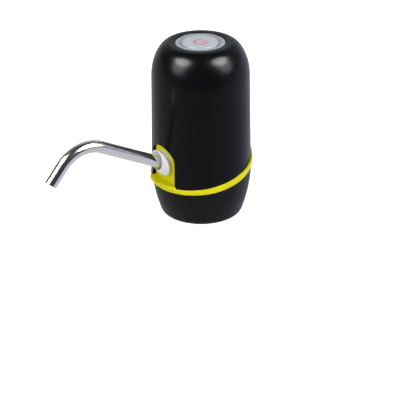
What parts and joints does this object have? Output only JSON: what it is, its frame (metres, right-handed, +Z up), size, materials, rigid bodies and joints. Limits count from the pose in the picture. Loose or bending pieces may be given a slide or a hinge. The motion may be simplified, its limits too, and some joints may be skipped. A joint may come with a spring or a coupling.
{
  "type": "electric water jug pump",
  "caption": "Upright dome-topped electric pump for the neck of a large water bottle, with a wavy trim ring, a bent steel spout and a round push button on top.",
  "frame": {"origin": "on the pump's vertical axis, in the plane of the skirt's bottom rim, at the centre of the round opening that takes the bottle's neck", "axes": "+Z up through the push button; the spout points to -Y; the charging socket faces +Y; +X is to the right for a viewer who looks along +Y at the spout"},
  "size_m": [0.0772, 0.173, 0.1344],
  "materials": {
    "gloss_black": "moulded ABS, glossy near-black",
    "skirt_black": "moulded, satin black",
    "yellow": "moulded, lemon yellow, semi-gloss",
    "silver": "silver lacquer, satin",
    "steel": "stainless steel, polished",
    "milky": "white moulded plastic, slightly translucent",
    "symbol_red": "printed ink, raised",
    "silicone": "food-grade silicone, milky",
    "black_rubber": "moulded rubber, matt",
    "works_plastic": "moulded, dark grey",
    "pump_plastic": "moulded, off-white",
    "can_metal": "zinc-plated steel",
    "copper": "enamelled copper windings",
    "magnet_grey": "sintered ferrite",
    "cell_wrap": "blue shrink sleeve",
    "nickel": "nickel plate",
    "board_green": "solder mask, green",
    "screw_steel": "zinc-plated steel",
    "led_white": "clear epoxy, milky",
    "wire_red": "PVC insulation, red",
    "wire_black": "PVC insulation, black"
  },
  "bodies": {
    "root": {"housing": "gloss_black", "base_skirt": "skirt_black", "trim_ring": "yellow", "chassis_plate": "works_plastic", "base_screw_1": "screw_steel", "base_screw_2": "screw_steel", "base_screw_3": "screw_steel", "neck_seal": "silicone", "inlet_barb": "pump_plastic", "suction_hose": "silicone", "pump_head": "pump_plastic", "valve_plate": "black_rubber", "diaphragm": "black_rubber", "pump_frame": "pump_plastic", "pump_screw_1": "screw_steel", "pump_screw_2": "screw_steel", "pump_screw_3": "screw_steel", "motor_can": "can_metal", "motor_end_bell": "works_plastic", "motor_magnet_1": "magnet_grey", "motor_magnet_2": "magnet_grey", "motor_terminal_1": "nickel", "motor_terminal_2": "nickel", "motor_damper": "silicone", "battery_cell": "cell_wrap", "battery_tray": "works_plastic", "battery_tab_top": "nickel", "battery_tab_bottom": "nickel", "brace_plate": "works_plastic", "brace_screw_1": "screw_steel", "brace_screw_2": "screw_steel", "brace_screw_3": "screw_steel", "outlet_socket": "pump_plastic", "outlet_hose": "silicone", "charge_board": "board_green", "charge_port": "nickel", "charge_tongue": "works_plastic", "switch_board": "board_green", "board_screw_1": "screw_steel", "board_screw_2": "screw_steel", "board_screw_3": "screw_steel", "tact_switch": "works_plastic", "status_led": "led_white", "button_sleeve": "silicone", "button_bezel": "silver", "motor_wire_1": "wire_red", "motor_wire_2": "wire_black", "battery_wire_1": "wire_red"},
    "button": {"button_cap": "silver", "power_ring": "symbol_red", "power_bar": "symbol_red", "switch_plunger": "works_plastic"},
    "spout_sleeve": {"spout_collar": "milky", "collar_seal": "black_rubber"},
    "spout": {"spout_tube": "steel", "tube_seal": "black_rubber"},
    "rotor": {"motor_shaft": "steel", "motor_armature": "copper", "eccentric_hub": "pump_plastic"},
    "wobbler": {"wobble_plate": "pump_plastic"}
  },
  "joints": [
    {"name": "button_press", "type": "slide", "parent": "root", "child": "button", "axis": [0, 0, -1], "range_m": [0, 0.0006], "stiffness_N_per_m": 800, "springref_m": -0.002, "deforming": ["button_sleeve"]},
    {"name": "spout_pull", "type": "slide", "parent": "root", "child": "spout_sleeve", "axis": [0, -0.887, 0.4617], "range_m": [0, 0.008]},
    {"name": "spout_swivel", "type": "hinge", "parent": "spout_sleeve", "child": "spout", "pos_m": [0, -0.0348, 0.0466], "axis": [0, -0.887, 0.4617], "continuous": true},
    {"name": "motor_spin", "type": "hinge", "parent": "root", "child": "rotor", "pos_m": [-0.0085, 0.004, 0.08], "axis": [0, 0, 1], "continuous": true},
    {"name": "wobble_turn", "type": "hinge", "parent": "rotor", "child": "wobbler", "pos_m": [-0.0085, 0.004, 0.0565], "axis": [0.0872, 0, 0.9962], "continuous": true}
  ],
  "couplings": [
    {"joint": "wobble_turn", "follows": "motor_spin", "ratio": -1}
  ]
}
